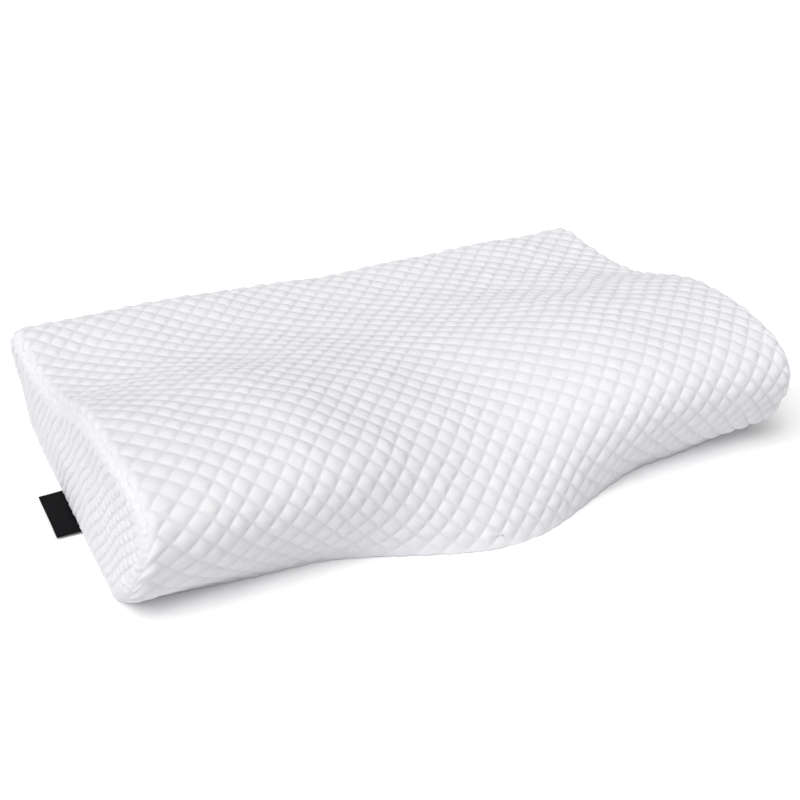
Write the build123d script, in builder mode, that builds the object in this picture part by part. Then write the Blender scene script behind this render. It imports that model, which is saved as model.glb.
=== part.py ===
from build123d import *
import math
import os

# Contoured bed pillow: a moulded foam core in a knitted liner, inside a quilted zip cover.
#
# Millimetres. +X runs along the pillow, +Y towards its back, +Z up. The origin is on the floor,
# under the middle of the pillow.

# Overall form
LENGTH = 610.0
DEPTH = 400.0
EDGE_RADIUS = 14.0
BACK_Y = DEPTH / 2
WALL_TOP = 78.0
WALL_FOOT = 18.0
UNDER_FLOOR = 6.0
HEEL = 10.0

# The front lobe dips in the middle, to cradle the neck, and stands up in two wings beside it.
CRADLE_REACH = 185.0
WING_START = 180.0
TOE_SWEEP = 14.0
SAG_START = 190.0
END_SAG = 5.0
LIFT_REACH = 200.0
LEFT_LIFT = 9.0
RIGHT_LIFT = 2.5

# Layers, from the outside in
COVER = 4.0
COVER_GAP = 2.6
LINER = 1.2
LINER_GAP = 2.0
LINER_INSET = COVER + COVER_GAP
CORE_INSET = LINER_INSET + LINER + LINER_GAP

# Seams between the wrapped panel and the two end panels
SEAM_X = 301.0
SEAM_GAP = 0.2
OVERLOCK_WIDTH = 9.0
OVERLOCK_INSET = COVER + 0.8
OVERLOCK = 1.2

# Zip, along the foot of the back wall
ZIP_Z = 34.0
ZIP_LENGTH = 500.0
SLOT_HEIGHT = 10.0
TAPE = 0.8
TAPE_HEIGHT = 15.0
CHAIN_GAP = 1.7
COIL_HEIGHT = 2.5
COIL_DEPTH = 2.3
TAPE_Y = BACK_Y - COVER - TAPE - 0.1
COIL_Y = TAPE_Y + TAPE
STOP_LENGTH = 3.0
STITCH = 0.8
STITCH_STEP = 2.6

# Slider and pull
SLIDER_X = 240.0
SLIDER_LENGTH = 13.0
SLIDER_HEIGHT = 9.4
TAIL_SHARE = 0.78
PLATE = 1.2
RUN = 0.25
POST_WIDTH = 1.1
BRIDGE_LENGTH = 7.4
BRIDGE_WIDTH = 2.0
BRIDGE_BAR = 0.9
TUNNEL = 2.4
PIN_RADIUS = 0.6
PULL_WIDTH = 7.0
PULL_LENGTH = 25.0
PULL_EYE = 5.4
PULL_THICKNESS = 1.1
PULL_SIDE = 1.3
FRONT_PLATE_Y = COIL_Y + COIL_DEPTH + RUN
PIVOT_Y = FRONT_PLATE_Y + PLATE + TUNNEL / 2
PIVOT_X = SLIDER_X

# Labels sewn into the end seams
LABEL_LENGTH = 68.0
LABEL_REACH = 20.0
LABEL_THICKNESS = 1.4
LABEL_Y = 20.0
LABEL_Z = 3.2
CARE_LENGTH = 38.0
CARE_REACH = 24.0
CARE_THICKNESS = 0.8
CARE_Y = 128.0
SEWN_IN = 5.0

# The section from the front toe over the top to the back wall: each point on a wing, then in the cradle.
OUTLINE = [
    ((-139.0, -8.0), (-203.0, -8.0)),   # under the floor, where the toe is cut flat
    ((-146.0, 2.0), (-200.0, 2.0)),     # toe
    ((-159.0, 20.0), (-195.0, 19.0)),   # chin, which the wings undercut
    ((-171.0, 40.0), (-185.0, 37.0)),
    ((-178.0, 64.0), (-171.0, 55.0)),   # nose of the wings
    ((-173.0, 86.0), (-155.0, 72.0)),
    ((-157.0, 102.0), (-136.0, 84.5)),  # front shoulder
    ((-128.0, 113.0), (-106.0, 94.5)),
    ((-70.0, 121.0), (-58.0, 103.0)),   # crown of the front lobe
    ((-15.0, 116.0), (-15.0, 104.0)),
    ((40.0, 102.5), (40.0, 98.5)),
    ((100.0, 94.0), (100.0, 93.5)),     # valley
    ((150.0, 95.0), (150.0, 94.0)),     # back lobe
    ((178.0, 95.5), (178.0, 95.0)),
    ((192.0, 91.5), (192.0, 91.5)),     # back shoulder
    ((198.5, 85.0), (198.5, 85.0)),
]
SAG_SHARES = [0, 0, 0, 0, 0, 0, 0, 0, 0, 0, 1, 1, 0.6, 0.2, 0, 0]
LIFT_SHARES = [0, 0, 0, 0, 0, 0, 0, 0, 0, 0, 0, 0.1, 0.5, 0.9, 1, 1]

MIDDLE_STATIONS = [0, 30, 60, 90, 120, 150, 180, 210, 240, 260, 274, 283, 288]
END_STEPS = [0.0, 0.35, 0.6, 0.8, 0.92]


def smooth(t):
    """Ease from 0 to 1 as t goes from 0 to 1, flat at both ends."""
    t = min(max(t, 0.0), 1.0)
    return t * t * (3 - 2 * t)


def cradle_share(x):
    """How much of the cradle's section there is at x: 1 in the middle, 0 on the wings."""
    return 0.5 * (1 + math.cos(math.pi * min(abs(x) / CRADLE_REACH, 1.0)))


def outline_points(x):
    """The outer section's points at x, from the toe to the back shoulder."""
    share = cradle_share(x)
    sweep = TOE_SWEEP * smooth((abs(x) - WING_START) / (LENGTH / 2 - WING_START))
    sag = END_SAG * smooth((abs(x) - SAG_START) / (LENGTH / 2 - SAG_START))
    lift = LEFT_LIFT if x < 0 else RIGHT_LIFT
    lift *= math.sin(math.pi / 2 * min(abs(x) / LIFT_REACH, 1.0))
    points = []
    for index, ((wing_y, wing_z), (cradle_y, cradle_z)) in enumerate(OUTLINE):
        y = wing_y + share * (cradle_y - wing_y)
        z = wing_z + share * (cradle_z - wing_z)
        if index < 2:
            y += sweep
        z += LIFT_SHARES[index] * lift - SAG_SHARES[index] * sag
        points.append((y, z))
    return points


def inset_points(points, inset):
    """The same points moved inwards, square to the outline."""
    moved = []
    for index, (y, z) in enumerate(points):
        before = points[max(index - 1, 0)]
        after = points[min(index + 1, len(points) - 1)]
        run_y = after[0] - before[0]
        run_z = after[1] - before[1]
        run = math.hypot(run_y, run_z)
        moved.append((y + inset * run_z / run, z - inset * run_y / run))
    return moved


def drawn_in(x, inset):
    """How far the outline at x is drawn in, further, to round the edges of the ends."""
    radius = EDGE_RADIUS - inset
    into_round = max(abs(x) - LENGTH / 2 + EDGE_RADIUS, 0.0)
    return radius - math.sqrt(radius**2 - min(into_round, END_STEPS[-1] * radius) ** 2)


def form_stations(inset):
    """The sections' places along the pillow, closer together round the ends."""
    shoulder = LENGTH / 2 - EDGE_RADIUS
    half = MIDDLE_STATIONS + [shoulder + step * (EDGE_RADIUS - inset) for step in END_STEPS]
    return [-x for x in reversed(half[1:])] + half


def pillow_form(inset, x_low=-LENGTH, x_high=LENGTH):
    """The pillow's solid with its surface moved inwards by inset, all of it or from x_low to x_high."""
    stations = form_stations(inset)
    within = [x for x in stations if x_low + 1 < x < x_high - 1]
    if x_low > stations[0]:
        within.insert(0, x_low)
    if x_high < stations[-1]:
        within.append(x_high)
    with BuildPart() as form:
        for x in within:
            drawn = drawn_in(x, inset)
            depth = inset + drawn
            points = inset_points(outline_points(x), depth)
            wall_y = BACK_Y - depth
            foot_z = drawn - UNDER_FLOOR
            with BuildSketch(Plane.YZ.offset(x)):
                with BuildLine():
                    Spline(*points, (wall_y, WALL_TOP))
                    Line((wall_y, WALL_TOP), (wall_y, WALL_FOOT + drawn))
                    Line((wall_y, WALL_FOOT + drawn), (wall_y - HEEL, foot_z))
                    Line((wall_y - HEEL, foot_z), points[0])
                make_face()
        loft()
        split(bisect_by=Plane.XY.offset(inset), keep=Keep.TOP)
    return form.part


def ring(outer_inset, inner_inset, x_low=-LENGTH, x_high=LENGTH):
    """The layer of the pillow between two insets, open at the ends if they are given."""
    with BuildPart() as layer:
        add(pillow_form(outer_inset, x_low, x_high))
        add(pillow_form(inner_inset), mode=Mode.SUBTRACT)
    return layer.part


def finish(piece, label):
    """Name a finished piece and write its STEP file."""
    piece.label = label
    export_step(piece, f"parts/{label}.step")


def make_core_and_liner():
    """The moulded foam core, and the knitted liner that is sewn shut round it."""
    with BuildPart() as foam_core:
        add(pillow_form(CORE_INSET))
    finish(foam_core.part, "foam_core")
    finish(ring(LINER_INSET, LINER_INSET + LINER), "inner_liner")


def make_cover():
    """The quilted cover: one panel wrapped round the pillow, with the zip's slot, and two end panels."""
    edge = SEAM_X - SEAM_GAP / 2
    with BuildPart() as cover_wrap:
        add(ring(0.0, COVER, -edge, edge))
        with Locations((0, BACK_Y, ZIP_Z)):
            Box(ZIP_LENGTH, 4 * COVER, SLOT_HEIGHT, mode=Mode.SUBTRACT)
    finish(cover_wrap.part, "cover_wrap")
    finish(pillow_form(0.0, x_high=-edge - SEAM_GAP), "end_panel_left")
    finish(pillow_form(0.0, x_low=edge + SEAM_GAP), "end_panel_right")


def make_overlocks():
    """The overlocked edges of the panels, a narrow ring of cloth and thread inside each end seam."""
    inner = OVERLOCK_INSET + OVERLOCK
    outer_x = SEAM_X - 2 * OVERLOCK
    inner_x = outer_x - OVERLOCK_WIDTH
    finish(ring(OVERLOCK_INSET, inner, -outer_x, -inner_x), "seam_overlock_left")
    finish(ring(OVERLOCK_INSET, inner, inner_x, outer_x), "seam_overlock_right")


def make_zip_half(name, side):
    """One half of the zip: its tape, its coil and the row of stitches that holds it. side is 1 or -1."""
    half = ZIP_LENGTH / 2
    near = ZIP_Z + side * CHAIN_GAP / 2
    with BuildPart() as tape:
        with Locations((0, TAPE_Y + TAPE / 2, near + side * TAPE_HEIGHT / 2)):
            Box(2 * half + 2 * STOP_LENGTH, TAPE, TAPE_HEIGHT)
    finish(tape.part, f"zip_tape_{name}")
    with BuildPart() as coil:
        with BuildSketch(Plane.YZ.offset(-half + STOP_LENGTH)):
            with Locations((COIL_Y + COIL_DEPTH / 2, near + side * COIL_HEIGHT / 2)):
                RectangleRounded(COIL_DEPTH, COIL_HEIGHT, COIL_DEPTH / 3)
        extrude(amount=2 * half - 2 * STOP_LENGTH)
    finish(coil.part, f"zip_coil_{name}")
    stitch_z = ZIP_Z + side * (SLOT_HEIGHT / 2 + STITCH_STEP)
    with BuildPart() as stitches:
        with BuildSketch(Plane.YZ.offset(-half)):
            with Locations((BACK_Y + STITCH / 4 + SEAM_GAP / 2, stitch_z)):
                RectangleRounded(STITCH / 2, STITCH, STITCH / 5)
        extrude(amount=2 * half)
    finish(stitches.part, f"zip_stitches_{name}")


def make_zip_stops():
    """The two top stops, one on each tape, and the bottom stop that ties both tapes."""
    half = ZIP_LENGTH / 2
    stop_y = COIL_Y + COIL_DEPTH / 2
    size = (STOP_LENGTH - RUN, COIL_DEPTH, COIL_HEIGHT)
    with BuildPart() as top_stops:
        with Locations(
            (half - STOP_LENGTH / 2, stop_y, ZIP_Z + (CHAIN_GAP + COIL_HEIGHT) / 2),
            (half - STOP_LENGTH / 2, stop_y, ZIP_Z - (CHAIN_GAP + COIL_HEIGHT) / 2),
        ):
            Box(*size)
        fillet(top_stops.edges().filter_by(Axis.Z), PIN_RADIUS)
    finish(top_stops.part, "zip_top_stops")
    with BuildPart() as bottom_stop:
        with Locations((STOP_LENGTH / 2 - half, stop_y, ZIP_Z)):
            Box(size[0], size[1], 2 * COIL_HEIGHT + CHAIN_GAP)
        fillet(bottom_stop.edges().filter_by(Axis.Z), PIN_RADIUS)
    finish(bottom_stop.part, "zip_bottom_stop")


def make_slider():
    """The slider: two plates either side of the chain, the post between them and the bridge for the pull."""
    back_plate_y = TAPE_Y - RUN
    mouth = SLIDER_X + SLIDER_LENGTH / 2
    tail = SLIDER_X - SLIDER_LENGTH / 2
    wide = SLIDER_HEIGHT / 2
    narrow = TAIL_SHARE * wide
    outline = [(tail, -narrow), (mouth, -wide), (mouth, wide), (tail, narrow)]
    with BuildPart() as zip_slider:
        for face_y, depth in ((FRONT_PLATE_Y, PLATE), (back_plate_y - PLATE, PLATE)):
            with BuildSketch(Plane((0, face_y, ZIP_Z), x_dir=(1, 0, 0), z_dir=(0, -1, 0))):
                with BuildLine():
                    Polyline(*outline, close=True)
                make_face()
            extrude(amount=-depth)
        fillet(zip_slider.edges().filter_by(Axis.Y), PLATE)
        post_depth = FRONT_PLATE_Y - back_plate_y
        with Locations((mouth - 1.5 * PLATE, back_plate_y + post_depth / 2, ZIP_Z)):
            Box(2 * PLATE, post_depth, POST_WIDTH)
        with BuildSketch(Plane((PIVOT_X, 0, ZIP_Z), x_dir=(1, 0, 0), z_dir=(0, 0, 1))):
            bridge_top = FRONT_PLATE_Y + PLATE + TUNNEL + BRIDGE_BAR
            with Locations((0, (FRONT_PLATE_Y + bridge_top) / 2)):
                RectangleRounded(BRIDGE_LENGTH, bridge_top - FRONT_PLATE_Y, BRIDGE_BAR)
            with Locations((0, PIVOT_Y)):
                SlotOverall(BRIDGE_LENGTH - 2 * BRIDGE_BAR, TUNNEL, mode=Mode.SUBTRACT)
        extrude(amount=BRIDGE_WIDTH / 2, both=True)
    finish(zip_slider.part, "zip_slider")


def make_pull():
    """The pull tab: a pin through the bridge, two side bars and a rounded plate with a grip slot."""
    side_z = PULL_WIDTH / 2
    with BuildPart() as zip_pull:
        with BuildSketch(Plane((PIVOT_X, PIVOT_Y, ZIP_Z), x_dir=(-1, 0, 0), z_dir=(0, 1, 0))):
            with Locations((PULL_LENGTH / 2, 0)):
                RectangleRounded(PULL_LENGTH, PULL_WIDTH, PULL_SIDE)
            with Locations((PULL_EYE / 2 - PIN_RADIUS / 2, 0)):
                Rectangle(PULL_EYE + PIN_RADIUS, PULL_WIDTH - 2 * PULL_SIDE, mode=Mode.SUBTRACT)
            with Locations((PULL_LENGTH - PULL_EYE, 0)):
                SlotOverall(PULL_EYE, PULL_SIDE * 1.6, mode=Mode.SUBTRACT)
        extrude(amount=PULL_THICKNESS / 2, both=True)
        with BuildSketch(Plane((PIVOT_X, PIVOT_Y, ZIP_Z - side_z), x_dir=(1, 0, 0), z_dir=(0, 0, 1))):
            Circle(PIN_RADIUS)
        extrude(amount=PULL_WIDTH)
    finish(zip_pull.part, "zip_pull")


def make_labels():
    """Two plain folded labels, sewn into the foot of the end seams: a black tab and a white care label."""
    outer = SEAM_X - SEWN_IN
    with BuildPart() as side_label:
        with Locations((-(outer + LENGTH / 2 + LABEL_REACH) / 2, LABEL_Y, LABEL_Z)):
            Box(LENGTH / 2 + LABEL_REACH - outer, LABEL_LENGTH, LABEL_THICKNESS)
    finish(side_label.part, "side_label")
    with BuildPart() as care_label:
        with Locations(((outer + LENGTH / 2 + CARE_REACH) / 2, CARE_Y, LABEL_Z)):
            Box(LENGTH / 2 + CARE_REACH - outer, CARE_LENGTH, CARE_THICKNESS)
    finish(care_label.part, "care_label")


os.makedirs("parts", exist_ok=True)
make_core_and_liner()
make_cover()
make_overlocks()
make_zip_half("upper", 1)
make_zip_half("lower", -1)
make_zip_stops()
make_slider()
make_pull()
make_labels()
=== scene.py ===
import logging
import math
from dataclasses import dataclass, replace
from enum import Enum, IntEnum

import bpy
import numpy as np
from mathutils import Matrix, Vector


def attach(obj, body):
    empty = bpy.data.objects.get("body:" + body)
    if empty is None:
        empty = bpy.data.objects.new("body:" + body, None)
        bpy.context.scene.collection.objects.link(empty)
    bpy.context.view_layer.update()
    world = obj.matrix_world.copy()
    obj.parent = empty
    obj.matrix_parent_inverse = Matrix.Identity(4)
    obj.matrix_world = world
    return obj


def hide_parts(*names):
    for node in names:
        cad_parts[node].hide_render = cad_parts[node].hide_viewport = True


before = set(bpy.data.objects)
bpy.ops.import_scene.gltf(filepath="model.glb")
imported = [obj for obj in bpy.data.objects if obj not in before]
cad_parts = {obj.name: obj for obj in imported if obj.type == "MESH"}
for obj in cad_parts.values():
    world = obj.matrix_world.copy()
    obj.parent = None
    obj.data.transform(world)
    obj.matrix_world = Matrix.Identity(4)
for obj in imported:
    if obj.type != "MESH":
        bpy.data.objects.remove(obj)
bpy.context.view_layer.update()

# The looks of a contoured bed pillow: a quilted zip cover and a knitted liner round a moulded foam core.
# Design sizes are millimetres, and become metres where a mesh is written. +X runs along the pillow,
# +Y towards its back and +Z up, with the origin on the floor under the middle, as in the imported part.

MM = 0.001
LOG = logging.getLogger("pillow")


class Body(str, Enum):
    """The rigid bodies that pieces ride on."""

    PILLOW = "pillow"
    SLIDER = "slider"
    PULL = "pull"


class Slot(str, Enum):
    """The finishes that the part's record names."""

    FOAM = "foam"
    LINER = "liner_knit"
    QUILT = "quilted_knit"
    THREAD = "white_thread"
    TAPE = "zip_tape"
    COIL = "zip_coil"
    METAL = "zip_metal"
    BLACK = "black_woven"
    SATIN = "white_satin"


class Side(Enum):
    """The two ends of the pillow, as signs along X."""

    LEFT = -1
    RIGHT = 1


class Half(Enum):
    """The two halves of the zip, as signs along Z."""

    UPPER = 1
    LOWER = -1


class Seed(IntEnum):
    """Where each uneven field starts its random draws; an end panel adds its side's sign."""

    GATHER = 3
    SWELL = 11
    DRIFT_ALONG = 21
    DRIFT_UP = 22
    PANEL_WAVE = 23
    PANEL_GATHER = 31
    PANEL_SWELL = 41
    LINER = 51


# ---------------------------------------------------------------- shader expressions


class Value:
    """A number that varies over a surface: a node's socket with Python's arithmetic."""

    def __init__(self, net: "Net", socket: bpy.types.NodeSocket) -> None:
        """Wraps a socket of the net's tree."""
        self.net = net
        self.socket = socket

    def math(self, operation: str, *others: object) -> "Value":
        """Adds a Math node.

        Args:
            operation: the node's operation.
            others: its other inputs, numbers or Values.

        Returns:
            The node's output.
        """
        inputs = dict(enumerate((self, *others)))
        return self.net.value("ShaderNodeMath", {"operation": operation}, inputs)

    def __add__(self, other: object) -> "Value":
        """Sum."""
        return self.math("ADD", other)

    __radd__ = __add__

    def __mul__(self, other: object) -> "Value":
        """Product."""
        return self.math("MULTIPLY", other)

    __rmul__ = __mul__

    def __sub__(self, other: object) -> "Value":
        """Difference."""
        return self.math("SUBTRACT", other)

    def __rsub__(self, other: float) -> "Value":
        """Difference from a number."""
        return self.math("MULTIPLY", -1.0) + other

    def __truediv__(self, other: object) -> "Value":
        """Quotient."""
        return self.math("DIVIDE", other)

    def wave(self) -> "Value":
        """A sine between 0 and 1, with one period for each whole number."""
        return (self * (2 * math.pi)).math("SINE") * 0.5 + 0.5

    def tooth(self) -> "Value":
        """A triangle wave between 0 and 1, with one period for each whole number."""
        return self.math("PINGPONG", 0.5) * 2.0

    def step(self, low: float, high: float) -> "Value":
        """Eases from 0 at low to 1 at high."""
        inputs = {"Value": self, "From Min": low, "From Max": high}
        settings = {"interpolation_type": "SMOOTHSTEP"}
        return self.net.value("ShaderNodeMapRange", settings, inputs, "Result")


class Net:
    """The node tree of one material, written as expressions."""

    def __init__(self, name: str) -> None:
        """Starts an empty tree."""
        self.material = bpy.data.materials.new(name)
        self.material.use_nodes = True
        self.tree = self.material.node_tree
        self.tree.nodes.clear()

    def node(self, kind: str, settings: dict | None = None, inputs: dict | None = None) -> bpy.types.Node:
        """Adds a node.

        Args:
            kind: its Blender type.
            settings: its attributes, set first; "stops" are a ramp's (place, colour) pairs.
            inputs: what its sockets get, by name or number: a number, a vector, a Value or a socket.

        Returns:
            The node.
        """
        made = self.tree.nodes.new(kind)
        for name, setting in (settings or {}).items():
            if name == "stops":
                for index, (place, colour) in enumerate(setting):
                    ramp = made.color_ramp.elements
                    stop = ramp[index] if index < len(ramp) else ramp.new(place)
                    stop.position = place
                    stop.color = (*colour, 1.0)
            else:
                setattr(made, name, setting)
        for name, given in (inputs or {}).items():
            if isinstance(given, Value):
                given = given.socket
            if isinstance(given, bpy.types.NodeSocket):
                self.tree.links.new(given, made.inputs[name])
            else:
                made.inputs[name].default_value = given
        return made

    def value(
        self, kind: str, settings: dict | None = None, inputs: dict | None = None, output: str | int = 0
    ) -> Value:
        """Adds a node and wraps one of its outputs."""
        return Value(self, self.node(kind, settings, inputs).outputs[output])

    def cloth(self) -> tuple[Value, Value, bpy.types.NodeSocket]:
        """The piece's own cloth coordinates: along, across (both in centimetres), and the vector."""
        vector = self.node("ShaderNodeUVMap", {"uv_map": "cloth"}).outputs[0]
        parts = self.node("ShaderNodeSeparateXYZ", None, {0: vector}).outputs
        return Value(self, parts[0]), Value(self, parts[1]), vector

    def place(self) -> tuple[Value, Value, Value, bpy.types.NodeSocket]:
        """The object's own coordinates in metres: x, y, z and the vector."""
        vector = self.node("ShaderNodeTexCoord").outputs["Object"]
        parts = self.node("ShaderNodeSeparateXYZ", None, {0: vector}).outputs
        return Value(self, parts[0]), Value(self, parts[1]), Value(self, parts[2]), vector

    def noise(self, vector: bpy.types.NodeSocket, scale: float, detail: float = 2.0) -> Value:
        """Soft noise between 0 and 1."""
        inputs = {"Vector": vector, "Scale": scale, "Detail": detail, "Roughness": 0.55}
        return self.value("ShaderNodeTexNoise", None, inputs)

    def blend(self, share: object, low: tuple, high: tuple) -> bpy.types.NodeSocket:
        """A colour between two, by a share from 0 to 1."""
        settings = {"data_type": "RGBA"}
        inputs = {0: share, 6: (*low, 1.0), 7: (*high, 1.0)}
        return self.node("ShaderNodeMix", settings, inputs).outputs[2]

    def bump(self, height: Value, distance: float, strength: float = 1.0) -> bpy.types.NodeSocket:
        """A normal from a height between 0 and 1 that is distance metres deep."""
        inputs = {"Height": height, "Distance": distance, "Strength": strength}
        return self.node("ShaderNodeBump", None, inputs).outputs[0]

    def skin(self, varied: dict, uniform: dict) -> bpy.types.Material:
        """Finishes the material.

        Args:
            varied: Principled inputs that change over the surface.
            uniform: Principled inputs that are the same all over.

        Returns:
            The material.
        """
        shader = self.node("ShaderNodeBsdfPrincipled", None, {**uniform, **varied})
        self.node("ShaderNodeOutputMaterial", None, {"Surface": shader.outputs[0]})
        return self.material


# ---------------------------------------------------------------- finishes


@dataclass(frozen=True)
class QuiltedKnit:
    """White jersey quilted over wadding: fine wales, and painted shade along the sewn creases."""

    crown: tuple = (0.738, 0.734, 0.764)
    painted_crease_shade: tuple = (0.670, 0.668, 0.700)
    warm: tuple = (0.76, 0.755, 0.737)
    wale: float = 0.11
    course: float = 0.13
    depth: float = 0.00016

    def material(self) -> bpy.types.Material:
        """Colour from the puff of the cells, as painted shade that darkens them towards their creases, and a
        slow mottle; normal from the knitted loops and lint.
        """
        net = Net("quilted_knit")
        along, across, vector = net.cloth()
        puff = net.value("ShaderNodeAttribute", {"attribute_name": "puff"}, None, "Fac")
        mottle = net.noise(vector, 0.35, 3.0)
        lint = net.noise(vector, 26.0, 3.0)
        # Loops lean to and fro from one course to the next, so the wales read as fine V shapes.
        lean = (across / self.course).tooth() * 0.35
        loops = (along / self.wale + lean).wave() * (across / self.course).wave()
        # Painted shade: the colour falls from the crown colour to the darker crease colour where the puff is
        # low, along the sewn creases.
        knit_and_crease_shade = net.blend(puff.step(0.0, 0.35) * 0.85 + loops * 0.15, self.painted_crease_shade, self.crown)
        warm = mottle.step(0.5, 0.75) * puff.step(0.5, 1.0) * 0.5
        settings = {"data_type": "RGBA"}
        colour = net.node("ShaderNodeMix", settings, {0: warm, 6: knit_and_crease_shade, 7: (*self.warm, 1.0)}).outputs[2]
        height = loops * 0.6 + lint * 0.5
        varied = {
            "Base Color": colour,
            "Roughness": 0.86 + lint * 0.1,
            "Normal": net.bump(height, self.depth, 0.8),
        }
        uniform = {"Sheen Weight": 0.12, "Sheen Roughness": 0.5, "Specular IOR Level": 0.25}
        return net.skin(varied, uniform)


@dataclass(frozen=True)
class LinerKnit:
    """Thin white stockinette over the foam: plain wales with a slight rib."""

    colour: tuple = (0.84, 0.84, 0.85)
    shade: tuple = (0.74, 0.74, 0.76)
    wale: float = 0.14

    def material(self) -> bpy.types.Material:
        """Rib from a wave round the pillow and courses along it."""
        net = Net("liner_knit")
        along, across, vector = net.cloth()
        rib = (along / self.wale).wave()
        course = (across / (1.3 * self.wale) + rib * 0.3).wave()
        knit = rib * 0.6 + course * 0.4
        varied = {
            "Base Color": net.blend(knit.step(0.1, 0.7), self.shade, self.colour),
            "Roughness": 0.88 + net.noise(vector, 9.0) * 0.08,
            "Normal": net.bump(knit, 0.0002),
        }
        return net.skin(varied, {"Sheen Weight": 0.15, "Specular IOR Level": 0.25})


@dataclass(frozen=True)
class MouldedFoam:
    """Slow-recovery foam: pale cream with a fine open pore under a moulded skin."""

    skin_colour: tuple = (0.86, 0.82, 0.68)
    pore_colour: tuple = (0.62, 0.56, 0.42)
    pore: float = 900.0

    def material(self) -> bpy.types.Material:
        """Pores from cells of two sizes, and a slow yellowing."""
        net = Net("moulded_foam")
        vector = net.place()[3]
        fine = net.value("ShaderNodeTexVoronoi", None, {"Vector": vector, "Scale": self.pore}, "Distance")
        wide = net.value("ShaderNodeTexVoronoi", None, {"Vector": vector, "Scale": self.pore / 4}, "Distance")
        age = net.noise(vector, 14.0, 3.0)
        pores = fine.step(0.05, 0.5) * (0.6 + wide.step(0.02, 0.25) * 0.4)
        tone = pores * 0.75 + age * 0.25
        varied = {
            "Base Color": net.blend(tone, self.pore_colour, self.skin_colour),
            "Roughness": 0.82 + age * 0.12,
            "Normal": net.bump(pores, 0.0006),
        }
        return net.skin(varied, {"Subsurface Weight": 0.08, "Subsurface Scale": 0.004})


@dataclass(frozen=True)
class SpunThread:
    """White sewing thread: twisted plies with a soft lustre."""

    colour: tuple = (0.88, 0.88, 0.89)
    shade: tuple = (0.70, 0.70, 0.73)
    ply: float = 0.0009

    def material(self) -> bpy.types.Material:
        """Plies from a slanting wave."""
        net = Net("spun_thread")
        x, y, z, vector = net.place()
        twist = ((x + y * 0.8 + z * 0.6) / self.ply).wave()
        fuzz = net.noise(vector, 2500.0)
        varied = {
            "Base Color": net.blend(twist.step(0.0, 0.6), self.shade, self.colour),
            "Roughness": 0.5 + fuzz * 0.25,
            "Normal": net.bump(twist * 0.8 + fuzz * 0.2, 0.00008),
        }
        return net.skin(varied, {"Sheen Weight": 0.1})


@dataclass(frozen=True)
class Herringbone:
    """Woven polyester zip tape with a herringbone and a corded edge."""

    colour: tuple = (0.86, 0.86, 0.88)
    shade: tuple = (0.68, 0.68, 0.72)
    yarn: float = 0.0007
    chevron: float = 0.006

    def material(self) -> bpy.types.Material:
        """Yarns lean one way and then the other across the tape."""
        net = Net("zip_tape_weave")
        x, _, z, vector = net.place()
        lean = (z / self.chevron).tooth() * self.chevron
        yarns = ((x + lean) / self.yarn).wave()
        across = (z / (0.6 * self.yarn)).wave()
        weave = yarns * 0.7 + across * 0.3
        varied = {
            "Base Color": net.blend(weave.step(0.05, 0.7), self.shade, self.colour),
            "Roughness": 0.72 + net.noise(vector, 700.0) * 0.15,
            "Normal": net.bump(weave, 0.00012),
        }
        return net.skin(varied, {"Sheen Weight": 0.1, "Specular IOR Level": 0.35})


@dataclass(frozen=True)
class CoilFilament:
    """Thick white nylon filament, semi-gloss, a little worn on the heads."""

    colour: tuple = (0.88, 0.88, 0.90)
    worn: tuple = (0.78, 0.78, 0.80)

    def material(self) -> bpy.types.Material:
        """Wear and fine draw marks along the filament."""
        net = Net("coil_filament")
        vector = net.place()[3]
        wear = net.noise(vector, 420.0, 3.0)
        draw = net.noise(vector, 3200.0)
        varied = {
            "Base Color": net.blend(wear.step(0.3, 0.6), self.worn, self.colour),
            "Roughness": 0.26 + wear * 0.22,
            "Normal": net.bump(draw, 0.00003),
        }
        return net.skin(varied, {"IOR": 1.53, "Coat Weight": 0.1})


@dataclass(frozen=True)
class Enamel:
    """White enamel over die-cast zinc: fine orange peel, thin where hands rub it."""

    colour: tuple = (0.86, 0.86, 0.87)
    thin: tuple = (0.66, 0.66, 0.66)

    def material(self) -> bpy.types.Material:
        """Rubbed edges from the curvature of the mesh, broken up by noise."""
        net = Net("zip_enamel")
        vector = net.place()[3]
        peel = net.noise(vector, 2600.0)
        rub = net.noise(vector, 500.0, 4.0)
        edges = net.value("ShaderNodeNewGeometry", None, None, "Pointiness").step(0.56, 0.66)
        thin = edges * rub.step(0.45, 0.6)
        varied = {
            "Base Color": net.blend(thin, self.colour, self.thin),
            "Roughness": 0.24 + rub * 0.14 + thin * 0.15,
            "Normal": net.bump(peel, 0.00002),
        }
        return net.skin(varied, {"Coat Weight": 0.35, "Coat Roughness": 0.12})


@dataclass(frozen=True)
class SatinWeave:
    """A woven satin label: slanting floats, fine picks, and a slight lustre."""

    name: str
    colour: tuple
    shade: tuple
    lustre: float = 0.3
    float_pitch: float = 0.07
    pick_pitch: float = 0.035

    def material(self) -> bpy.types.Material:
        """Floats slant across the picks, in the label's own cloth coordinates."""
        net = Net(self.name)
        along, across, vector = net.cloth()
        floats = (along / self.float_pitch + across / (2.5 * self.float_pitch)).wave()
        picks = (across / self.pick_pitch).wave()
        weave = floats * 0.65 + picks * 0.35
        dust = net.noise(vector, 6.0, 4.0)
        tone = weave * 0.7 + dust * 0.3
        varied = {
            "Base Color": net.blend(tone, self.shade, self.colour),
            "Roughness": 0.52 + dust * 0.2 - floats * 0.1,
            "Normal": net.bump(weave, 0.00007),
        }
        return net.skin(varied, {"Sheen Weight": self.lustre * 0.3, "Specular IOR Level": self.lustre})


# ---------------------------------------------------------------- meshes


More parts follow.
